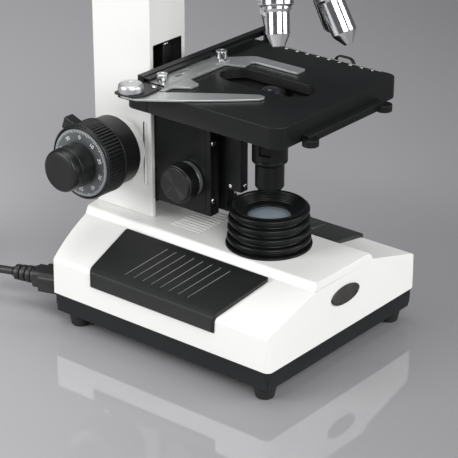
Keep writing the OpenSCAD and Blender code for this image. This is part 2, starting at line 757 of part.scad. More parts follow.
module drive_bracket() {
    color(black_paint) on_axis() difference() {
        union() {
            box([stage_hw, 55, 190], [drive[0], 69, 203]);
            translate([drive[0], drive[1], 190]) cylinder(r = 7, h = 13);
        }
        translate([drive[0], drive[1], 180]) cylinder(r = 5.05, h = 30);
    }
}

module knob_ribs(r, z0, z1, n) {
    for (i = [0:n - 1]) rotate([0, 0, i * 360 / n]) translate([r + 0.3, 0, z0]) cylinder(r = 0.8, h = z1 - z0);
}

module y_knob() {
    color(black_paint) on_axis() translate([drive[0], drive[1], 0]) difference() {
        union() {
            translate([0, 0, 160]) cylinder(r = 13.4, h = 14, $fn = 96);
            translate([0, 0, 173]) cylinder(r = 5, h = 29);
        }
        translate([0, 0, 100]) cylinder(r = 3.05, h = 150);
        knob_ribs(13.4, 159, 171.5, 30);
    }
}

module x_knob() {
    color(black_paint) on_axis() translate([drive[0], drive[1], 0]) difference() {
        union() {
            translate([0, 0, 143]) cylinder(r = 11, h = 15, $fn = 96);
            translate([0, 0, 157]) cylinder(r = 3, h = 53);
            translate([0, 0, 203.3]) cylinder(r = 6.6, h = 7);
        }
        knob_ribs(11, 142, 155.5, 26);
    }
}

// Nosepiece ---------------------------------------------------------------------------------

module on_turret() {
    on_axis() translate([0, -turret_r * cos(turret_tilt), shoulder_z + turret_r * sin(turret_tilt)])
        rotate([-turret_tilt, 0, 0]) children();
}

module nosepiece_base() {
    color(black_paint) difference() {
        union() {
            on_turret() translate([0, 0, 9.3]) cylinder(r = 31, h = 30, $fn = 96);
            on_axis() translate([0, 0, 286]) cylinder(r = 12, h = 10);
        }
        on_axis() translate([-100, -100, arm_under]) cube(200);
        on_axis() cylinder(r = 9, h = 400);
        on_turret() translate([0, 0, 9.2]) cylinder(r = 5.05, h = 8);
        on_turret() translate([0, 0, -20.5]) cube([200, 200, 59.6], center = true);
    }
}

module nosepiece_turret() {
    color(black_paint) on_turret() difference() {
        union() {
            rotate_extrude($fn = 96) polygon([[0, 0], [30, 0], [35, 4], [36, 5], [36, 9], [0, 9]]);
            cylinder(r = 5, h = 13.5);
            for (i = [0:3]) rotate([0, 0, 90 * i]) translate([0, turret_r, 0]) rotate([turret_tilt, 0, 0])
                cylinder(r = 12, h = 3);
        }
        for (i = [0:3]) rotate([0, 0, 90 * i]) translate([0, turret_r, 0]) rotate([turret_tilt, 0, 0])
            {
                translate([0, 0, -5]) cylinder(r = 10.02, h = 30);
                translate([0, 0, -10]) cylinder(r = 11.8, h = 10);
            }
        for (i = [0:35]) rotate([0, 0, i * 10 + 5]) translate([36.3, 0, 5]) cylinder(r = 0.7, h = 3);
        translate([0, 0, 9]) difference() {
            cylinder(r = 60, h = 20);
            cylinder(r = 5, h = 40);
        }
    }
}

// Barrel radii and length of each objective, shortest first
objective_sizes = [[10, 8.5, 6, 26], [10, 8.5, 4.5, 36], [10.4, 9, 3.2, 44.4], [10.4, 9, 2.6, 44.8]];
module objective(s) {
    rotate_extrude($fn = 64) polygon([
        [s[2] - 0.8, -s[3]], [s[2], -s[3]], [s[1] - 1, -s[3] + 7], [s[1], -s[3] + 9], [s[1], -12],
        [s[0], -10], [s[0], -8], [11.6, -7], [11.6, 0], [9.9, 0], [9.9, 4.5], [s[2] - 0.8, 4.5]]);
}

module objectives() {
    color(bright_steel) on_turret() for (i = [0:3]) rotate([0, 0, 90 * i]) translate([0, turret_r, 0])
        rotate([turret_tilt, 0, 0]) objective(objective_sizes[i]);
}

// Head --------------------------------------------------------------------------------------

module on_hinge() {
    on_axis() translate(head_pivot) rotate([90 - tube_slope, 0, 0]) children();
}

module head_body() {
    color(white_paint) difference() {
        union() {
            on_axis() {
                translate([0, 0, head_z - 6]) cylinder(r = 23.97, h = 7, $fn = 96);
                translate([0, 0, head_z + 0.2]) cylinder(r = 33, h = 8, $fn = 96);
                along_x(-25, 25) polygon(rounded([
                    [-12, head_z + 4, 0], [28, head_z + 4, 6], [44, 366, 14], [31, 392, 14],
                    [14.1, 392.7, 4], [-10.7, 349.5, 0]]));
            }
            on_hinge() {
                translate([0, 0, -26]) cylinder(r = 26, h = 26, $fn = 96);
                cylinder(r = 6, h = 28);
                translate([0, 0, 26.3]) cylinder(r = 11, h = 3);
            }
        }
        on_axis() translate([0, 0, head_z - 8]) cylinder(r = 11, h = 22);
    }
}

module head_lock_screw() {
    color(silver) on_axis() translate([0, 0, limb_top - 3]) {
        rod_x(24.1, 36, 2);
        difference() {
            rod_x(34.2, 43, 5);
            for (i = [0:11]) rotate([i * 30, 0, 0]) translate([0, 5.3, 0]) rod_x(36, 44, 0.6);
        }
    }
}

// One prism arm: a hub on the hinge line from h0 to h1, and the eyepiece tube at side s
module tube_arm(s, h0, h1) {
    tilt = s > 0 ? -tube_drop : 180 + tube_drop;
    on_hinge() rotate([0, 0, tilt]) difference() {
        union() {
            translate([0, 0, h0]) cylinder(r = 23.5, h = h1 - h0, $fn = 96);
            difference() {
                union() {
                    translate([tube_off, 0, 0.3]) cylinder(r = 18.5, h = 25.7, $fn = 96);
                    translate([4, -18.5, 0.3]) cube([tube_off - 4, 37, 25.7]);
                    translate([tube_off, 0, 20]) cylinder(r = 14.5, h = 8, $fn = 96);
                }
                translate([0, 0, h0 > 10 ? -1 : h1])
                    cylinder(r = 24, h = h0 > 10 ? h0 + 1 : 26.3 - h1, $fn = 96);
            }
            translate([tube_off, 0, 26.3]) cylinder(r = 14.5, h = 43.7, $fn = 96);
        }
        translate([0, 0, -2]) cylinder(r = 6.05, h = 40);
        translate([tube_off, 0, 24]) cylinder(r = 11.62, h = 60);
        translate([0, 0, 26]) cylinder(r = 12, h = 10);
    }
}

module tube_left() { color(white_paint) tube_arm(-1, 0.3, 13); }
module tube_right() { color(white_paint) tube_arm(1, 13.3, 26); }

module on_tube(s) {
    on_hinge() rotate([0, 0, s > 0 ? -tube_drop : 180 + tube_drop]) translate([tube_off, 0, 0]) children();
}

module diopter_ring() {
    color(black_paint) on_tube(-1) difference() {
        translate([0, 0, 58]) cylinder(r = 17, h = 11.5, $fn = 96);
        translate([0, 0, 50]) cylinder(r = 14.53, h = 30);
        knob_ribs(17, 58.5, 69, 30);
    }
}

module eyepiece() {
    rotate_extrude($fn = 96) polygon([
        [9, 46], [11.55, 46], [11.55, 70], [15, 70], [15, 90], [14, 96], [12.5, 98], [9, 98],
        [7, 94], [7, 90], [9, 84]]);
}

module eyepiece_left() { color(black_paint) on_tube(-1) eyepiece(); }
module eyepiece_right() { color(black_paint) on_tube(1) eyepiece(); }

// Mains lead --------------------------------------------------------------------------------

module cord_connector() {
    color(rubber_black) on_axis() at_rear(inlet_x, inlet_z) {
        // nose that enters the inlet, slotted for the three pins
        difference() {
            box([-11.7, -13, -8], [11.7, 2.8, 8]);
            for (x = [-6, 0, 6]) box([x - 1.3, -14, -2.3], [x + 1.3, -1, 2.3]);
        }
        along_y(2.6, 20) polygon(rounded([
            [-13, -7.8, 2], [13, -7.8, 2], [13, 4.5, 3], [9, 7.8, 2], [-9, 7.8, 2], [-13, 4.5, 3]]));
        along_y(19.9, 27) polygon(rounded([
            [-9, -7, 3], [9, -7, 3], [9, 7, 3], [-9, 7, 3]]));
        rotate([-90, 0, 0]) rotate_extrude($fn = 32) polygon(concat([[0, 26]],
            [for (i = [0:3]) let (y = 27 + i * 5.2, r = 7 - i * 0.8) each
                [[r, y - 1], [r, y + 2.9], [r - 1.8, y + 3], [r - 1.8, y + 4.1]]],
            [[lead_d / 2 + 0.6, 48], [0, 48]]));
    }
}

lead_r = lead_d / 2;
coil_at = [-85, 278];
coil_mid = 36.6;
coil_layers = 4;
route = [[-82, 156, 25.5], [-88, 175, 24], [-98, 199, 15], [-110, 225, 5.5], [-120, 249, 3.3],
         [-124.7, 267, 3.3]];

// Smooth curve through the route's points
function pick(p, i) = p[max(0, min(len(p) - 1, i))];
function curve(a, b, c, d, t) = 0.5 * (2 * b + (c - a) * t + (2 * a - 5 * b + 4 * c - d) * t * t
    + (3 * b - a - 3 * c + d) * t * t * t);
function smooth(p, n) = concat([for (i = [0:len(p) - 2], k = [0:n - 1])
    curve(pick(p, i - 1), p[i], p[i + 1], pick(p, i + 2), k / n)], [p[len(p) - 1]]);

// A tube of radius r round the points of a path that never runs upright
module tube(path, r, sides = 10) {
    n = len(path);
    rings = [for (i = [0:n - 1]) let (
        t = unit2(pick(path, i + 1) - pick(path, i - 1)),
        side = unit2(cross(t, [0, 0, 1])), up = cross(side, t))
        for (k = [0:sides - 1]) let (a = 360 * k / sides)
            path[i] + r * (cos(a) * side + sin(a) * up)];
    skin = [for (i = [0:n - 2], k = [0:sides - 1]) let (j = (k + 1) % sides)
        [i * sides + k, i * sides + j, (i + 1) * sides + j, (i + 1) * sides + k]];
    polyhedron(rings, concat(skin, [[for (k = [sides - 1:-1:0]) k]],
        [[for (k = [0:sides - 1]) (n - 1) * sides + k]]));
}

module cord() { color(rubber_black) tube(smooth(route, 2), lead_r); }

module cord_coil() {
    color(rubber_black) translate([coil_at[0], coil_at[1], 0]) rotate_extrude($fn = 64)
        polygon(rounded([[coil_mid - lead_d, 0.05, 2], [coil_mid + lead_d, 0.05, 2],
            [coil_mid + lead_d, coil_layers * lead_d, 2], [coil_mid - lead_d, coil_layers * lead_d, 2]]));
}

module cord_plug() {
    translate([coil_at[0] + 10, coil_at[1] + coil_mid + lead_r, 8.5]) rotate([0, 90, 0]) rotate([0, 0, 90]) {
        color(rubber_black) {
            cylinder(r1 = 5.5, r2 = 7, h = 20);
            translate([0, 0, 19.9]) linear_extrude(22) polygon(rounded([
                [-12, -8.5, 4], [12, -8.5, 4], [12, 8.5, 4], [-12, 8.5, 4]]));
        }
        color(bright_steel) for (x = [-6.35, 6.35]) translate([x - 0.75, -3.1, 41]) cube([1.5, 6.2, 17]);
    }
}

base_cover();
bottom_tray();
feet();
base_screws();
palm_rest_left();
palm_rest_right();
badge();
collector_housing();
field_lens();
lamp();
power_supply();
power_inlet();
switch_bezel();
switch_rocker();
dimmer_knob();
arm();
guide_block();
carriage();
gib_bars();
carriage_screws();
coarse_shaft();
coarse_knobs();
tension_ring();
fine_shaft();
fine_knobs();
fine_dial();
condenser_slide();
condenser_knob();
condenser_body();
condenser_screw();
condenser_lens();
iris_lever();
stage_lower_plate();
front_rail();
stage_top();
x_guide();
y_vernier();
x_slider();
holder_bracket();
holder_screws();
pivot_plate();
spring_finger();
finger_cap();
drive_bracket();
y_knob();
x_knob();
nosepiece_base();
nosepiece_turret();
objectives();
head_body();
head_lock_screw();
tube_left();
tube_right();
diopter_ring();
eyepiece_left();
eyepiece_right();
cord_connector();
cord();
cord_coil();
cord_plug();
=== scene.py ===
"""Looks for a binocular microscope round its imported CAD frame. Metres, +Z up, -Y is the user's side."""
import json
import math

import bmesh
import bpy
from mathutils import Matrix, Vector


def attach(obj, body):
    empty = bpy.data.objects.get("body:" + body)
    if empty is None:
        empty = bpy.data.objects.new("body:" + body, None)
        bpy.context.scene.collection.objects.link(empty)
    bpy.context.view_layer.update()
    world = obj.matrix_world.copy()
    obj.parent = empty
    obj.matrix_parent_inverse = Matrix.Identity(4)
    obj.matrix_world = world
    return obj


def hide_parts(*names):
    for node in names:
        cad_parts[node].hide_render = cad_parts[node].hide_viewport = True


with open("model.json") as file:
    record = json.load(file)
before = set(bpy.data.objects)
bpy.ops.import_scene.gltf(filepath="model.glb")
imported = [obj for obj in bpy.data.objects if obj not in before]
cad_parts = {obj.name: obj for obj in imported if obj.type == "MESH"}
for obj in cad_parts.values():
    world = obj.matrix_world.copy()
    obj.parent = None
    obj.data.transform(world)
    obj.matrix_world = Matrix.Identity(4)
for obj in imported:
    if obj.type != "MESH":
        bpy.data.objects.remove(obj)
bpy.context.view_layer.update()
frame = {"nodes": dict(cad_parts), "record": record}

TAU = 2 * math.pi
MM = 0.001
NODES = frame["nodes"]
BODY_OF = {n: b for b, ns in frame["record"]["behaviour"]["bodies"].items() for n in ns}
SLOT_OF = {s["node"]: s["material_slot"] for s in frame["record"]["subparts"]}
AXIS_Y = -0.037          # the optical axis stands here along Y


def link(obj):
    bpy.context.scene.collection.objects.link(obj)
    return obj


def P(x, y, z):
    """A point in metres from millimetres, with y counted from the optical axis."""
    return Vector((x * MM, y * MM + AXIS_Y, z * MM))


# Camera --------------------------------------------------------------------------------------

CAMERA_AT = (-0.9996, -0.8096, 0.6570)
CAMERA_ANGLES = (-50.929, 24.239, 0.048)      # azimuth, elevation and roll, degrees


def make_camera():
    """The photograph's view: a long lens from the left front, looking down."""
    az, el, roll = (math.radians(x) for x in CAMERA_ANGLES)
    back = Vector((math.sin(az) * math.cos(el), -math.cos(az) * math.cos(el), math.sin(el)))
    right = Vector((math.cos(az), math.sin(az), 0))
    up = back.cross(right)
    x = right * math.cos(roll) + up * math.sin(roll)
    y = up * math.cos(roll) - right * math.sin(roll)
    data = bpy.data.cameras.new("camera")
    data.sensor_width, data.lens = 36.0, 144.63
    data.clip_start, data.clip_end = 0.05, 50
    cam = link(bpy.data.objects.new("camera", data))
    cam.matrix_world = Matrix((*((x[i], y[i], back[i], CAMERA_AT[i]) for i in range(3)), (0, 0, 0, 1)))
    bpy.context.scene.camera = cam


make_camera()
bpy.context.scene.view_settings.view_transform = "Standard"


# The mains lead ------------------------------------------------------------------------------

# Millimetres, y counted from the frame's origin
LEAD_D = 6.5
ROUTE = [(-82, 156, 25.5), (-88, 175, 24), (-98, 199, 15), (-110, 225, 5.5), (-120, 249, 3.3),
         (-124.7, 267, 3.3)]
COIL_AT, COIL_MID = (-85, 278), 36.6
COIL_START = math.radians(195.5)
PER_TURN = 40             # points in a turn of the coil
LAST_TURN = 105           # degrees of the last turn


def catmull(points, steps):
    """A smooth run of points through the given ones."""
    p = [points[0], *points, points[-1]]
    out = []
    for i in range(1, len(p) - 2):
        a, b, c, d = (Vector(q) for q in p[i - 1:i + 3])
        for k in range(steps):
            t = k / steps
            out.append(0.5 * (2 * b + (c - a) * t + (2 * a - 5 * b + 4 * c - d) * t * t
                              + (3 * b - a - 3 * c + d) * t ** 3))
    return out + [Vector(points[-1])]


def lead_path():
    """From the relief to the coil, then its turns: an outer one, four inner ones up, outer ones down."""
    path = catmull(ROUTE, 6)[:-1]
    inner, outer = COIL_MID - LEAD_D / 2, COIL_MID + LEAD_D / 2
    z = [LEAD_D / 2 + 0.05 + LEAD_D * 0.995 * k for k in range(4)]
    lanes = [(outer, z[0]), (inner, z[0]), (inner, z[1]), (inner, z[2]), (inner, z[3]), (outer, z[3]),
             (outer, z[2]), (outer, z[1])]
    for turn, (r, h) in enumerate(lanes):
        last = turn == len(lanes) - 1
        r2, h2 = (r, h) if last else lanes[turn + 1]
        for k in range(PER_TURN):
            u = k / PER_TURN
            if last and u * 360 > LAST_TURN:
                break
            t = max(0.0, (u - 0.8) / 0.2)
            t = t * t * (3 - 2 * t)
            ease = max(0.0, 1 - (turn + u) / 0.12) ** 2      # the first turn closes in on the coil
            a = COIL_START - u * TAU
            rr = r + (r2 - r) * t + 1.4 * ease
            path.append(Vector((COIL_AT[0] + rr * math.cos(a), COIL_AT[1] + rr * math.sin(a),
                                h + (h2 - h) * t)))
    y_end = COIL_AT[1] + outer
    for k in range(4):                                      # then straight into the plug behind the coil
        t = k / 3
        path.append(Vector((COIL_AT[0] + 1 + 12 * t, y_end, z[1] + (8.5 - z[1]) * t * t * (3 - 2 * t))))
    return [p * MM for p in path]


def curve_tube(name, path, radius):
    data = bpy.data.curves.new(name, "CURVE")
    data.dimensions = "3D"
    # the radius sits on the points, because a curve's box grows by its points' radius
    data.bevel_depth, data.bevel_resolution, data.use_fill_caps = 1, 6, True
    spline = data.splines.new("POLY")
    spline.points.add(len(path) - 1)
    for point, p in zip(spline.points, path):
        point.co, point.radius = (*p, 1), radius
    spline.use_smooth = True
    return link(bpy.data.objects.new(name, data))


lead = curve_tube("mains_lead", lead_path(), LEAD_D / 2 * MM)
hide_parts("cord", "cord_coil")
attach(lead, "base")


# Materials -----------------------------------------------------------------------------------

def new_material(name):
    m = bpy.data.materials.new(name)
    m.use_nodes = True
    return m, m.node_tree, m.node_tree.nodes["Principled BSDF"]


def ranged(node, from_min, from_max, to_min=0, to_max=1):
    """Sets the limits of a Map Range node."""
    limits = {"From Min": from_min, "From Max": from_max, "To Min": to_min, "To Max": to_max}
    for socket, value in limits.items():
        node.inputs[socket].default_value = value


def surface(name, colour, rough, metal=0.0, vary=0.12, tone_scale=30, grain=900, bump=0.05, coat=0.0,
            rough_vary=0.08, spec=0.5, grain_stretch=(1, 1, 1), edge=0.0):
    """A surface whose colour, roughness and fine bump vary over it, with a painted highlight that lightens
    its sharp edges.
    """
    m, tree, shader = new_material(name)
    shader.inputs["Metallic"].default_value = metal
    shader.inputs["Coat Weight"].default_value = coat
    shader.inputs["Coat Roughness"].default_value = 0.12
    shader.inputs["Specular IOR Level"].default_value = spec
    at = tree.nodes.new("ShaderNodeTexCoord")
    stretch = tree.nodes.new("ShaderNodeMapping")
    stretch.inputs["Scale"].default_value = grain_stretch
    tree.links.new(at.outputs["Object"], stretch.inputs["Vector"])
    broad = tree.nodes.new("ShaderNodeTexNoise")
    broad.inputs["Scale"].default_value, broad.inputs["Detail"].default_value = tone_scale, 4
    fine = tree.nodes.new("ShaderNodeTexNoise")
    fine.inputs["Scale"].default_value, fine.inputs["Detail"].default_value = grain, 3
    tree.links.new(at.outputs["Object"], broad.inputs["Vector"])
    tree.links.new(stretch.outputs["Vector"], fine.inputs["Vector"])
    ramp = tree.nodes.new("ShaderNodeValToRGB")
    ramp.color_ramp.elements[0].position, ramp.color_ramp.elements[1].position = 0.3, 0.72
    for e, k in zip(ramp.color_ramp.elements, (1 - vary, 1 + vary)):
        e.color = (*(min(1.0, c * k) for c in colour), 1)
    tree.links.new(broad.outputs["Fac"], ramp.inputs["Fac"])
    out = ramp.outputs["Color"]
    # painted highlight: edge lightens the colour where the surface is sharp, standing in for light caught on
    # edges
    if edge:
        geometry = tree.nodes.new("ShaderNodeNewGeometry")
        edge_highlight_mask = tree.nodes.new("ShaderNodeMapRange")
        ranged(edge_highlight_mask, 0.52, 0.62)
        edge_highlight_mix = tree.nodes.new("ShaderNodeMix")
        edge_highlight_mix.data_type = "RGBA"
        tree.links.new(geometry.outputs["Pointiness"], edge_highlight_mask.inputs["Value"])
        tree.links.new(edge_highlight_mask.outputs["Result"], edge_highlight_mix.inputs["Factor"])
        tree.links.new(out, edge_highlight_mix.inputs[6])
        edge_highlight_mix.inputs[7].default_value = (*(min(1.0, c + edge) for c in colour), 1)
        out = edge_highlight_mix.outputs[2]
    tree.links.new(out, shader.inputs["Base Color"])
    dull = tree.nodes.new("ShaderNodeMapRange")
    ranged(dull, 0, 1, max(0.02, rough - rough_vary), min(1.0, rough + rough_vary))
    tree.links.new(fine.outputs["Fac"], dull.inputs["Value"])
    tree.links.new(dull.outputs["Result"], shader.inputs["Roughness"])
    relief = tree.nodes.new("ShaderNodeBump")
    relief.inputs["Strength"].default_value, relief.inputs["Distance"].default_value = bump, 0.0006
    tree.links.new(fine.outputs["Fac"], relief.inputs["Height"])
    tree.links.new(relief.outputs["Normal"], shader.inputs["Normal"])
    return m


def glass(name, tint, rough, clear=0.9):
    """A clear tinted glass with a little dust."""
    m, tree, shader = new_material(name)
    shader.inputs["Transmission Weight"].default_value = clear
    shader.inputs["Roughness"].default_value = rough
    shader.inputs["Coat Weight"].default_value = 0.3
    at = tree.nodes.new("ShaderNodeTexCoord")
    dust = tree.nodes.new("ShaderNodeTexNoise")
    dust.inputs["Scale"].default_value = 260
    ramp = tree.nodes.new("ShaderNodeValToRGB")
    ramp.color_ramp.elements[0].color = (*tint, 1)
    ramp.color_ramp.elements[1].color = (*(c * 0.93 for c in tint), 1)
    tree.links.new(at.outputs["Object"], dust.inputs["Vector"])
    tree.links.new(dust.outputs["Fac"], ramp.inputs["Fac"])
    tree.links.new(ramp.outputs["Color"], shader.inputs["Base Color"])
    return m


# edge= sets how much a finish is lightened along its sharp edges, a painted edge highlight
MATERIALS = {
    "white_enamel": surface("white_enamel", (0.80, 0.80, 0.78), 0.36, vary=0.015, tone_scale=9, grain=1400,
                            bump=0.05, coat=0.25, rough_vary=0.05),
    "black_enamel": surface("black_enamel", (0.0045, 0.005, 0.0049), 0.36, vary=0.2, tone_scale=40,
                            grain=1500, bump=0.12, edge=0.012, spec=0.2),
    "tray_grey": surface("tray_grey", (0.011, 0.0125, 0.013), 0.5, vary=0.15, grain=1200, bump=0.25,
                         edge=0.01, spec=0.22),
    "rest_rubber": surface("rest_rubber", (0.0085, 0.0092, 0.009), 0.42, vary=0.15, grain=1300, bump=0.2,
                           edge=0.015, spec=0.35),
    "foot_rubber": surface("foot_rubber", (0.009, 0.009, 0.009), 0.62, vary=0.25, grain=800, bump=0.3),
    "lead_rubber": surface("lead_rubber", (0.012, 0.012, 0.013), 0.42, vary=0.2, grain=700, bump=0.12),
    "knob_black": surface("knob_black", (0.0055, 0.006, 0.006), 0.38, vary=0.2, grain=1500, bump=0.12,
                          edge=0.015, spec=0.42),
    "dial_grey": surface("dial_grey", (0.13, 0.14, 0.145), 0.36, metal=0.5, vary=0.06, grain=1800, bump=0.05),
    "bright_steel": surface("bright_steel", (0.62, 0.62, 0.63), 0.24, metal=1, vary=0.05, grain=700,
                            bump=0.05),
    "satin_alloy": surface("satin_alloy", (0.52, 0.53, 0.53), 0.4, metal=0.85, vary=0.06, grain=500,
                           bump=0.08, grain_stretch=(0.2, 3, 1)),
    "objective_chrome": surface("objective_chrome", (0.70, 0.70, 0.71), 0.14, metal=1, vary=0.03,
                                grain=400, bump=0.03),
    "lens_glass": glass("lens_glass", (0.42, 0.50, 0.56), 0.12),
    # the condenser lens is near-black: painted shade in place of the dark seen through its clear glass
    "lens_painted_dark": surface("lens_painted_dark", (0.012, 0.012, 0.016), 0.06, vary=0.5, tone_scale=420, grain=900,
                            bump=0.02, coat=0.5, spec=0.7),
    "field_glass": glass("field_glass", (0.34, 0.41, 0.47), 0.18, 0.45),
    "badge_black": surface("badge_black", (0.035, 0.032, 0.028), 0.3, vary=0.3, tone_scale=160, grain=900,
                           bump=0.1),
    "rocker_red": surface("rocker_red", (0.28, 0.015, 0.012), 0.25, vary=0.06, grain=900, bump=0.05),
    "fitting_black": surface("fitting_black", (0.006, 0.006, 0.006), 0.45, vary=0.2, grain=1200, bump=0.2),
    "dial_white": surface("dial_white", (0.80, 0.82, 0.80), 0.5, vary=0.05, grain=1500, bump=0.02),
    "rest_line": surface("rest_line", (0.26, 0.27, 0.265), 0.4, vary=0.1, grain=1500, bump=0.1),
    "circuit": surface("circuit", (0.02, 0.09, 0.04), 0.4, vary=0.3, tone_scale=90, grain=600, bump=0.2),
}


# Softened copies of the machined and moulded parts ---------------------------------------------

def coat_with(obj, material):
    obj.data.materials.clear()
    obj.data.materials.append(MATERIALS[material])


coat_with(lead, "lead_rubber")


def placed(obj, body, slot, *nodes):
    """Gives a piece its body and hides the nodes that it stands for; slot is not used."""
    if nodes:
        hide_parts(*nodes)
    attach(obj, body)
    return obj


SOFT_ANGLE = 32           # degrees from which a softened part's edge counts as an edge


def shade(mesh, angle=38):
    mesh.polygons.foreach_set("use_smooth", [True] * len(mesh.polygons))
    mesh.set_sharp_from_angle(angle=math.radians(angle))


def softened(node, width, segments, merge=True):
    """A piece with the node's shape and rounded edges, width millimetres across, in place of the node."""
    mesh = NODES[node].data.copy()
    bm = bmesh.new()
    bm.from_mesh(mesh)
    bmesh.ops.remove_doubles(bm, verts=bm.verts, dist=2e-6)
    if merge:
        bmesh.ops.dissolve_limit(bm, angle_limit=math.radians(0.4), verts=bm.verts, edges=bm.edges)
    bm.to_mesh(mesh)
    bm.free()
    obj = link(bpy.data.objects.new(node + "_piece", mesh))
    coat_with(obj, SLOT_OF[node])
    mod = obj.modifiers.new("round", "BEVEL")
    mod.width, mod.segments, mod.limit_method = width * MM, segments, "ANGLE"
    mod.angle_limit, mod.use_clamp_overlap = math.radians(SOFT_ANGLE), False
    mod.miter_outer = "MITER_ARC"
    shade(mesh, SOFT_ANGLE)
    even = obj.modifiers.new("even", "WEIGHTED_NORMAL")
    even.weight, even.keep_sharp = 90, True
    made = bpy.data.meshes.new_from_object(obj.evaluated_get(bpy.context.evaluated_depsgraph_get()))
    obj.modifiers.clear()
    obj.data = made
    return placed(obj, BODY_OF[node], SLOT_OF[node], node)


def carved(obj, node, name, slot, inside):
    """Moves the faces of a softened piece whose centres satisfy inside() to a piece of another finish."""
    other = link(bpy.data.objects.new(name, obj.data.copy()))
    for piece, keep in ((obj, False), (other, True)):
        bm = bmesh.new()
        bm.from_mesh(piece.data)
        gone = [f for f in bm.faces if bool(inside(f.calc_center_median(), f.normal)) != keep]
        bmesh.ops.delete(bm, geom=gone, context="FACES")
        bm.to_mesh(piece.data)
        bm.free()
    coat_with(other, slot)
    return placed(other, BODY_OF[node], slot, node)


def from_bmesh(name, bm, material):
    bmesh.ops.recalc_face_normals(bm, faces=bm.faces)
    mesh = bpy.data.meshes.new(name)
    bm.to_mesh(mesh)
    bm.free()
    obj = link(bpy.data.objects.new(name, mesh))
    coat_with(obj, material)
    shade(mesh)
    return obj


def rounded(points, r=0.4, n=3, closed=True):
    """A profile with its corners rounded to at most r."""
    out = []
    count = len(points)
    for i, b in enumerate(points):
        if not closed and i in (0, count - 1):
            out.append(tuple(b))
            continue
        a, b, c = (Vector(q[:2]) for q in (points[i - 1], b, points[(i + 1) % count]))
        cut = min(r, (a - b).length * 0.45, (c - b).length * 0.45)
        p, q = b + (a - b).normalized() * cut, b + (c - b).normalized() * cut
        for k in range(n + 1):
            t = k / n
            out.append(tuple(p * (1 - t) ** 2 + b * 2 * t * (1 - t) + q * t * t))
    return out


def lathe(name, profile, place, slot, body, *nodes, segments=96, flutes=None, closed=True):
    """A turned piece. profile holds (r, h) in millimetres round the local Z axis; place takes it to the
    world. flutes = (count, depth, h0, h1, sharpness, r_min) cuts that many grooves between the heights h0
    and h1, where the radius is above r_min."""
    bm = bmesh.new()
    per = flutes[0] * 8 if flutes else segments
    rings = []
    for r, h in profile:
        ring = []
        for k in range(per):
            a = TAU * k / per
            rr = r
            if flutes and flutes[2] <= h <= flutes[3] and r > flutes[5]:
                rr -= flutes[1] * (0.5 + 0.5 * math.cos(a * flutes[0])) ** flutes[4]
            ring.append(bm.verts.new(place @ Vector((rr * MM * math.cos(a), rr * MM * math.sin(a), h * MM))))
        rings.append(ring)
    pairs = list(zip(rings, rings[1:])) + ([(rings[-1], rings[0])] if closed else [])
    for low, high in pairs:
        for k in range(per):
            j = (k + 1) % per
            bm.faces.new((low[k], low[j], high[j], high[k]))
    bmesh.ops.remove_doubles(bm, verts=bm.verts, dist=1e-6)
    return placed(from_bmesh(name, bm, slot), body, slot, *nodes)


def bars(name, boxes, slot, body, place=Matrix.Identity(4), bevel=0.08):
    """Small raised bars: each box is (centre, half sizes in millimetres, turn about the local Z)."""
    bm = bmesh.new()
    for centre, half, turn in boxes:
        at = place @ Matrix.Translation(Vector(centre) * MM) @ Matrix.Rotation(turn, 4, "Z")
        bmesh.ops.create_cube(bm, size=1, matrix=at @ Matrix.Diagonal((*(2 * h * MM for h in half), 1)))
    bmesh.ops.bevel(bm, geom=bm.edges[:], offset=bevel * MM, segments=1, affect="EDGES")
    return placed(from_bmesh(name, bm, slot), body, slot)


for node, obj in NODES.items():
    coat_with(obj, SLOT_OF[node])

# Housing and limb
softened("base_cover", 0.3, 2, merge=False)
softened("bottom_tray", 0.8, 2)
for node in ("feet", "power_inlet", "switch_bezel", "switch_rocker", "dimmer_knob", "head_body",
             "tube_left", "tube_right", "nosepiece_base", "nosepiece_turret"):
    softened(node, 0.5, 2)
for node in ("palm_rest_left", "palm_rest_right", "cord_connector", "cord_plug"):
    softened(node, 0.12, 1, merge=False)
arm = softened("arm", 0.8, 3)
carved(arm, "arm", "arm_channel", "fitting_black",
       lambda c, n: abs(c.x) < 16.7 * MM and 0.013 < c.y < 0.1005 and 0.0765 < c.z < 0.2175
       and not (c.y < 0.07 and n.y < -0.5))

# Stage, carriage and condenser
for node in ("carriage", "gib_bars", "condenser_slide", "x_guide", "stage_lower_plate", "front_rail",
             "y_vernier", "drive_bracket", "condenser_body", "iris_lever", "guide_block"):
    softened(node, 0.4, 2)
# the slot's inner walls are split off in a near-black finish: painted shade inside the slot
carved(softened("stage_top", 0.5, 3), "stage_top", "slot_wall_shade", "fitting_black",
       lambda c, n: abs(c.x + 0.001) < 0.0149 and -0.0762 < c.y < 0.0072 and 0.190 < c.z < 0.2046)
for node in ("holder_bracket", "spring_finger", "pivot_plate"):
    softened(node, 0.22, 2)
carved(softened("x_slider", 0.22, 2), "x_slider", "x_slider_bar", "black_enamel",
       lambda c, n: c.z > 0.2091 or c.x < -0.0605)
for node in ("carriage_screws", "base_screws", "condenser_screw", "head_lock_screw", "y_knob", "x_knob"):
    softened(node, 0.25, 1)
for node in ("eyepiece_left", "eyepiece_right", "objectives", "diopter_ring", "tension_ring"):
    softened(node, 0.35, 2)


# Focus knobs: fluted coarse rims, dials with marks and figures, domed fine knobs -------------------

FOCUS = P(0, 127.8, 130.8)


def focus_place(side):
    """Local Z points outward along the focus shaft."""
    out = Vector((side, 0, 0))
    up = Vector((0, 0, 1))
    across = up.cross(out)
    turn = Matrix((across, up, out)).transposed().to_4x4()
    shift = -14 * MM if side > 0 else 0
    return Matrix.Translation(FOCUS + out * shift) @ turn


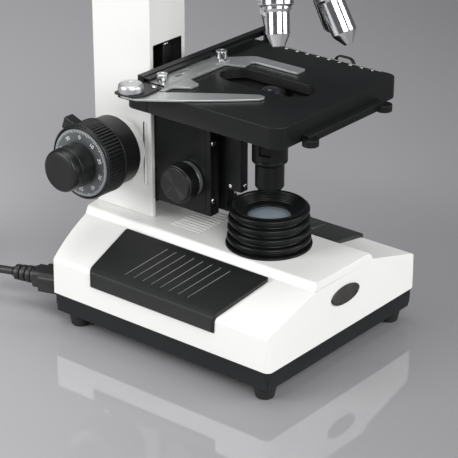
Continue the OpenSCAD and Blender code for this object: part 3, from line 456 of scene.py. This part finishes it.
def figure(text, height, place):
    """A number cut from thin sheet, its middle at the local origin."""
    data = bpy.data.curves.new("figure", "FONT")
    data.body, data.size, data.align_x, data.align_y = text, height * MM, "CENTER", "CENTER"
    data.extrude, data.resolution_u = 0.04 * MM, 4
    obj = link(bpy.data.objects.new("figure", data))
    mesh = bpy.data.meshes.new_from_object(obj)
    bpy.data.objects.remove(obj)
    mesh.transform(place)
    return mesh


def merged(name, meshes, slot, body):
    """One white piece made of several meshes."""
    bm = bmesh.new()
    for mesh in meshes:
        bm.from_mesh(mesh)
        bpy.data.meshes.remove(mesh)
    out = bpy.data.meshes.new(name)
    bm.to_mesh(out)
    bm.free()
    obj = link(bpy.data.objects.new(name, out))
    coat_with(obj, "dial_white")
    return placed(obj, body, slot)


for side, tag in ((-1, "left"), (1, "right")):
    place = focus_place(side)
    lathe("coarse_knob_" + tag, rounded([
        (8.3, 46), (28, 46), (29.3, 47.2), (29.3, 49.2), (28.8, 49.5), (28.8, 49.7), (29.1, 49.9),
        (29.1, 50.2), (29.1, 65.4), (29.1, 65.7), (28.5, 66.0), (28.5, 66.3), (29.3, 66.7), (29.3, 67.8),
        (28.4, 68.7), (27.7, 68.7), (27.3, 68.3), (27.3, 66.4), (4.6, 66.4), (4.6, 60), (8.3, 60)], 0.18, 2),
        place, "knob_black", "coarse", "coarse_knobs", flutes=(64, 0.8, 50.1, 65.5, 1.4, 20))
    lathe("fine_dial_" + tag, rounded([(4, 66.8), (26.9, 66.8), (26.9, 68.6), (26.4, 69.05), (17.6, 69.05),
                                       (17.4, 68.85), (16.2, 68.85), (4, 69.05)], 0.1, 2),
          place, "dial_grey", "fine", "fine_dial", segments=128)
    lathe("fine_knob_" + tag, rounded([
        (4, 69.2), (16.0, 69.2), (16.8, 70.0), (16.8, 83.4), (16.3, 83.7), (16.3, 84.1), (16.8, 84.4),
        (16.8, 88.4), (16.0, 91.4), (12.8, 92.45), (0.01, 92.5), (0.01, 90.6), (4, 90.6)], 1.2, 5),
        place, "knob_black", "fine", "fine_knobs", segments=128)
    marks = []
    for i in range(100):
        a = TAU * i / 100
        long = 2.6 if i % 10 == 0 else 2.2 if i % 5 == 0 else 1.8
        r = 26.3 - long / 2
        marks.append(((r * math.cos(a), r * math.sin(a), 69.06), (long / 2, 0.17, 0.04), a))
    ticks = bars("dial_marks_" + tag, marks, "dial_grey", "fine", place, bevel=0.01)
    coat_with(ticks, "dial_white")
    numbers = []
    for i in range(10):
        a = TAU / 4 + side * TAU * i / 10
        at = Matrix.Translation(Vector((20.7 * MM * math.cos(a), 20.7 * MM * math.sin(a), 69.08 * MM)))
        numbers.append(figure(str(i * 10), 4.4, place @ at @ Matrix.Rotation(a - TAU / 4, 4, "Z")))
    merged("dial_figures_" + tag, numbers, "dial_grey", "fine")


# Light collector: deep-grooved rings outside, a fine thread inside down to the lens's retaining ring
rings = []
for i in range(4):
    z, r = 80 + 7.4 * i, 32 - 0.45 * i
    rings += [(r - 3.4, z - 0.9), (r - 3.4, z + 0.5), (r - 0.9, z + 0.9), (r, z + 2.1), (r, z + 4.3),
              (r - 0.9, z + 5.3), (r - 3.4, z + 5.7)]
thread = [(26.2, 108.0)]
for i in range(5):
    r, z = 25.8 - 1.0 * i, 107.2 - 0.9 * i
    thread += [(r, z), (r - 0.75, z - 0.1), (r - 0.85, z - 0.55)]
lathe("collector_piece", rounded([
    (22, 71), (23.8, 71), (23.8, 77), (33, 77), (33, 78.6), (32.5, 79), *rings, (28.4, 109), (27, 109),
    *thread, (20.4, 102.4), (17.0, 101.4), (16.4, 101.0), (16.4, 100.2), (19, 100.2), (19, 95), (17.5, 95),
    (17.5, 92.5), (22, 89)], 0.5, 3), Matrix.Translation(P(0, 0, 0)), "black_enamel",
      "base", "collector_housing", segments=128)

# A dark sheet under the vents: painted shade inside the housing, seen through the slits
bars("vent_shade_sheet", [(tuple(P(0, 66, 73.4) / MM), (23, 15, 0.2), 0)], "fitting_black", "base")

# The silver collar behind the condenser's knob, and the knob
COND = Matrix.Translation(P(0, 64.5, 118)) @ Matrix.Rotation(-TAU / 4, 4, "Y")
lathe("condenser_collar", rounded([
    (3.9, -10), (3.9, 16.5), (13.6, 16.5), (14.2, 17.2), (14.2, 20.9), (13.6, 21.5), (4, 21.5), (3, 21.4),
    (3, -10)], 0.4, 3), COND, "satin_alloy",
      "condenser_drive", "condenser_knob")
lathe("condenser_knob_cap", rounded([
    (0.01, 21.5), (14.6, 21.5), (15.2, 22.2), (15.2, 31.4), (14.7, 32.3), (14.0, 32.5), (13.9, 33.6),
    (13.2, 34), (12.4, 34), (0.01, 34)], 0.5, 3, closed=False), COND, "knob_black", "condenser_drive",
    closed=False)
teeth = [TAU * k / 18 for k in range(18)]
bars("condenser_pinion", [(tuple(P(0, 64.5 + 8.1 * math.cos(a), 118 + 8.1 * math.sin(a)) / MM),
                           (5, 1.1, 0.55), 0) for a in teeth], "bright_steel", "condenser_drive")


# Rest strips, badge, lens rings and screws --------------------------------------------------------

REST_SLOPE = math.atan2(15, 54.5)
REST_TAPER = -0.0124      # the rest grows thicker towards its lip
REST_STRIP = Matrix.Diagonal((40.4 * MM, 0.5 * MM, 0.9 * MM, 1))
for side, tag in ((-1, "left"), (1, "right")):
    strips = bmesh.new()
    for i in range(8):
        at = Matrix.Translation(P(side * 46, 60 - i * 8.72, 50))
        at = at @ Matrix.Rotation(side * math.radians(14), 4, "Z")
        at = at @ Matrix.Rotation(side * REST_SLOPE, 4, "Y")
        at = at @ Matrix.Translation(Vector((side * 16, 0, 20.58)) * MM)
        at = at @ Matrix.Rotation(side * REST_TAPER, 4, "Y")
        bmesh.ops.create_cube(strips, size=1, matrix=at @ REST_STRIP)
    bmesh.ops.bevel(strips, geom=strips.edges[:], offset=0.08 * MM, segments=1, affect="EDGES")
    placed(from_bmesh("rest_lines_" + tag, strips, "rest_line"), "base", "rest_rubber")


OVAL_POINTS = 64


def oval(bm, a, b, z):
    angles = (TAU * k / OVAL_POINTS for k in range(OVAL_POINTS))
    return [bm.verts.new(Vector((a * math.cos(t), b * math.sin(t), z)) * MM) for t in angles]


def make_badge():
    """An oval plate with a raised rim and a sunk, dimpled field."""
    bm = bmesh.new()
    loops = [oval(bm, *s) for s in ((16.7, 6.7, 0), (17, 7, 0.3), (17, 7, 1.2), (16.7, 6.7, 1.6),
                                    (16.0, 6.0, 1.6), (15.7, 5.7, 1.25), (8, 2.9, 1.32), (0.5, 0.2, 1.36))]
    for low, high in zip(loops, loops[1:]):
        for k in range(OVAL_POINTS):
            j = (k + 1) % OVAL_POINTS
            bm.faces.new((low[k], low[j], high[j], high[k]))
    bm.faces.new(loops[0])
    bm.faces.new(loops[-1])
    at = Matrix.Translation(P(0, -71.1, 56.2)) @ Matrix.Rotation(math.radians(90), 4, "X") @ Matrix.Rotation(
        math.radians(-2.9), 4, "X")
    bmesh.ops.transform(bm, matrix=at, verts=bm.verts)
    placed(from_bmesh("badge_piece", bm, "badge_black"), "base", "badge_black", "badge")


make_badge()


def stage_marks():
    """Millimetre marks along the stage's right edge, with a small figure at every ten."""
    boxes, figures = [], []
    for i in range(-48, 44):
        ten = i % 10 == 8
        long = 1.6 if ten else 0.9
        boxes.append((tuple(P(71.2 - long / 2, i, 205.02) / MM), (long / 2, 0.12, 0.03), 0))
        if ten:
            at = Matrix.Translation(P(68.2, i, 205.03)) @ Matrix.Rotation(math.radians(-90), 4, "Z")
            figures.append(figure(str(i + 42), 2.6, at))
    coat_with(bars("stage_scale", boxes, "black_enamel", "stage", bevel=0.01), "dial_white")
    merged("stage_figures", figures, "black_enamel", "stage")


stage_marks()
# the condenser lens takes the near-black finish, painted shade
for node, kind in (("condenser_lens", "lens_painted_dark"), ("field_lens", "field_glass")):
    coat_with(softened(node, 0.2, 2), kind)

# The slide holder's two thumb screws
for x, tag in ((-58, "left"), (9, "right")):
    lathe("holder_screw_" + tag, rounded([
        (0.01, 205.3), (1.55, 205.3), (1.55, 208.1), (2.6, 208.1), (2.6, 210.1), (3.9, 210.1), (4.3, 210.5),
        (4.3, 215.6), (3.8, 216.0), (2.2, 216.1), (1.9, 215.8), (0.01, 215.8)], 0.2, 2),
        Matrix.Translation(P(x, 53.5, 0)), "bright_steel", "holder", "holder_screws",
        flutes=(28, 0.28, 210.7, 215.4, 1.2, 3.0), closed=False)

# The finger's domed cap, with a small dimple in its middle, and the rivet of its pivot
lathe("finger_cap_piece", rounded([
    (0.01, 205.3), (2.0, 205.3), (2.0, 208.35), (9.2, 208.35), (9.3, 212.4), (8.3, 214.6), (5.0, 215.1),
    (2.3, 215.3), (2.1, 214.8), (0.01, 214.9)], 0.9, 4, closed=False),
    Matrix.Translation(P(-85, 60, 0)), "satin_alloy", "holder", "finger_cap", closed=False)
lathe("pivot_rivet", rounded([(0.01, 208.3), (2.3, 208.3), (2.3, 208.9), (1.4, 209.4), (0.01, 209.5)], 0.3, 3,
                             closed=False),
      Matrix.Translation(P(-67.6, 53.4, 0)), "bright_steel", "holder", segments=32, closed=False)

# Strain relief: four thick ribs round the lead where it leaves the connector
inlet = Matrix.Translation(P(-67.5, 147.44, 25.5)) @ Matrix.Rotation(math.radians(17.7), 4, "Z")
ribs = [(4.2, 24.5), (7.4, 24.5)]
for i in range(4):
    r, h = 7.3 - 0.35 * i, 25.5 + 5.2 * i
    ribs += [(r, h), (r, h + 4.0), (r - 1.9, h + 4.1), (r - 1.9, h + 5.1)]
lathe("relief_ribs", rounded(ribs + [(4.2, 46.3)], 0.5, 3), inlet @ Matrix.Rotation(-TAU / 4, 4, "X"),
      "lead_rubber", "base", "cord_connector", segments=48)

# Web screws on the condenser slide
WEB_SCREWS = (("side", (-4.2, 33.8, 116), -TAU / 4, "Y"), ("front", (0, 24, 117.5), TAU / 4, "X"))
for tag, at, turn, axis in WEB_SCREWS:
    lathe("web_screw_" + tag, rounded([(0.01, 0), (1.8, 0), (1.8, 0.9), (1.3, 1.3), (0.01, 1.35)], 0.25, 3,
                                      closed=False),
          Matrix.Translation(P(*at)) @ Matrix.Rotation(turn, 4, axis), "bright_steel", "condenser",
          segments=32, closed=False)


# Floor and studio light -----------------------------------------------------------------------

def area_light(name, at, towards, size, power):
    data = bpy.data.lights.new(name, "AREA")
    data.shape, data.size, data.size_y = "RECTANGLE", size[0], size[1]
    data.energy = power
    obj = link(bpy.data.objects.new(name, data))
    obj.location = at
    obj.rotation_euler = (Vector(towards) - Vector(at)).to_track_quat("-Z", "Y").to_euler()


def make_floor():
    """A sheet of grey paper, a little uneven, under a sheet of clear acrylic that ends round the object."""
    m, tree, shader = new_material("studio_paper")
    at = tree.nodes.new("ShaderNodeTexCoord")
    away = tree.nodes.new("ShaderNodeVectorMath")
    away.operation = "LENGTH"
    tree.links.new(at.outputs["Object"], away.inputs[0])
    for socket, near, far in (("Roughness", 0.05, 0.6), ("Specular IOR Level", 0.8, 0.3)):
        edge = tree.nodes.new("ShaderNodeMapRange")
        edge.interpolation_type = "SMOOTHSTEP"
        ranged(edge, 0.2, 0.36, near, far)
        tree.links.new(away.outputs["Value"], edge.inputs["Value"])
        tree.links.new(edge.outputs["Result"], shader.inputs[socket])
    noise = tree.nodes.new("ShaderNodeTexNoise")
    noise.inputs["Scale"].default_value = 2.5
    ramp = tree.nodes.new("ShaderNodeValToRGB")
    ramp.color_ramp.elements[0].color = (0.345, 0.342, 0.352, 1)
    ramp.color_ramp.elements[1].color = (0.365, 0.361, 0.372, 1)
    tree.links.new(at.outputs["Object"], noise.inputs["Vector"])
    tree.links.new(noise.outputs["Fac"], ramp.inputs["Fac"])
    # painted shade: the floor's colour darkens towards the right, standing in for the light falling off
    # across it
    along = tree.nodes.new("ShaderNodeVectorMath")
    along.operation = "DOT_PRODUCT"
    along.inputs[1].default_value = (-0.6, 0.8, 0)
    painted_falloff = tree.nodes.new("ShaderNodeMapRange")
    painted_falloff.interpolation_type = "SMOOTHSTEP"
    ranged(painted_falloff, -0.45, 0.42, 0.54, 1.1)
    tree.links.new(at.outputs["Object"], along.inputs[0])
    tree.links.new(along.outputs["Value"], painted_falloff.inputs["Value"])
    painted_falloff_colour = tree.nodes.new("ShaderNodeVectorMath")
    painted_falloff_colour.operation = "SCALE"
    tree.links.new(ramp.outputs["Color"], painted_falloff_colour.inputs[0])
    tree.links.new(painted_falloff.outputs["Result"], painted_falloff_colour.inputs["Scale"])
    tree.links.new(painted_falloff_colour.outputs["Vector"], shader.inputs["Base Color"])
    mesh = bpy.data.meshes.new("floor")
    s = 4
    mesh.from_pydata([(-s, -s, 0), (s, -s, 0), (s, s, 0), (-s, s, 0)], [], [(0, 1, 2, 3)])
    mesh.materials.append(m)
    link(bpy.data.objects.new("floor", mesh))


make_floor()
area_light("key", (-1.0, -1.5, 1.25), (0, 0, 0.1), (1.2, 1.0), 35)
area_light("fill", (0.7, -1.6, 0.8), (0, 0, 0.1), (1.0, 0.8), 16)
area_light("left_back", (-1.5, 0.8, 0.9), (0, 0, 0.1), (1.0, 1.2), 24)
area_light("top", (0.0, 0.2, 2.1), (0, 0, 0), (1.4, 1.4), 24)
world = bpy.data.worlds.new("studio")
bpy.context.scene.world = world
world.use_nodes = True
sky = world.node_tree.nodes["Background"]
sky.inputs["Color"].default_value = (0.93, 0.95, 1.0, 1)
sky.inputs["Strength"].default_value = 0.14
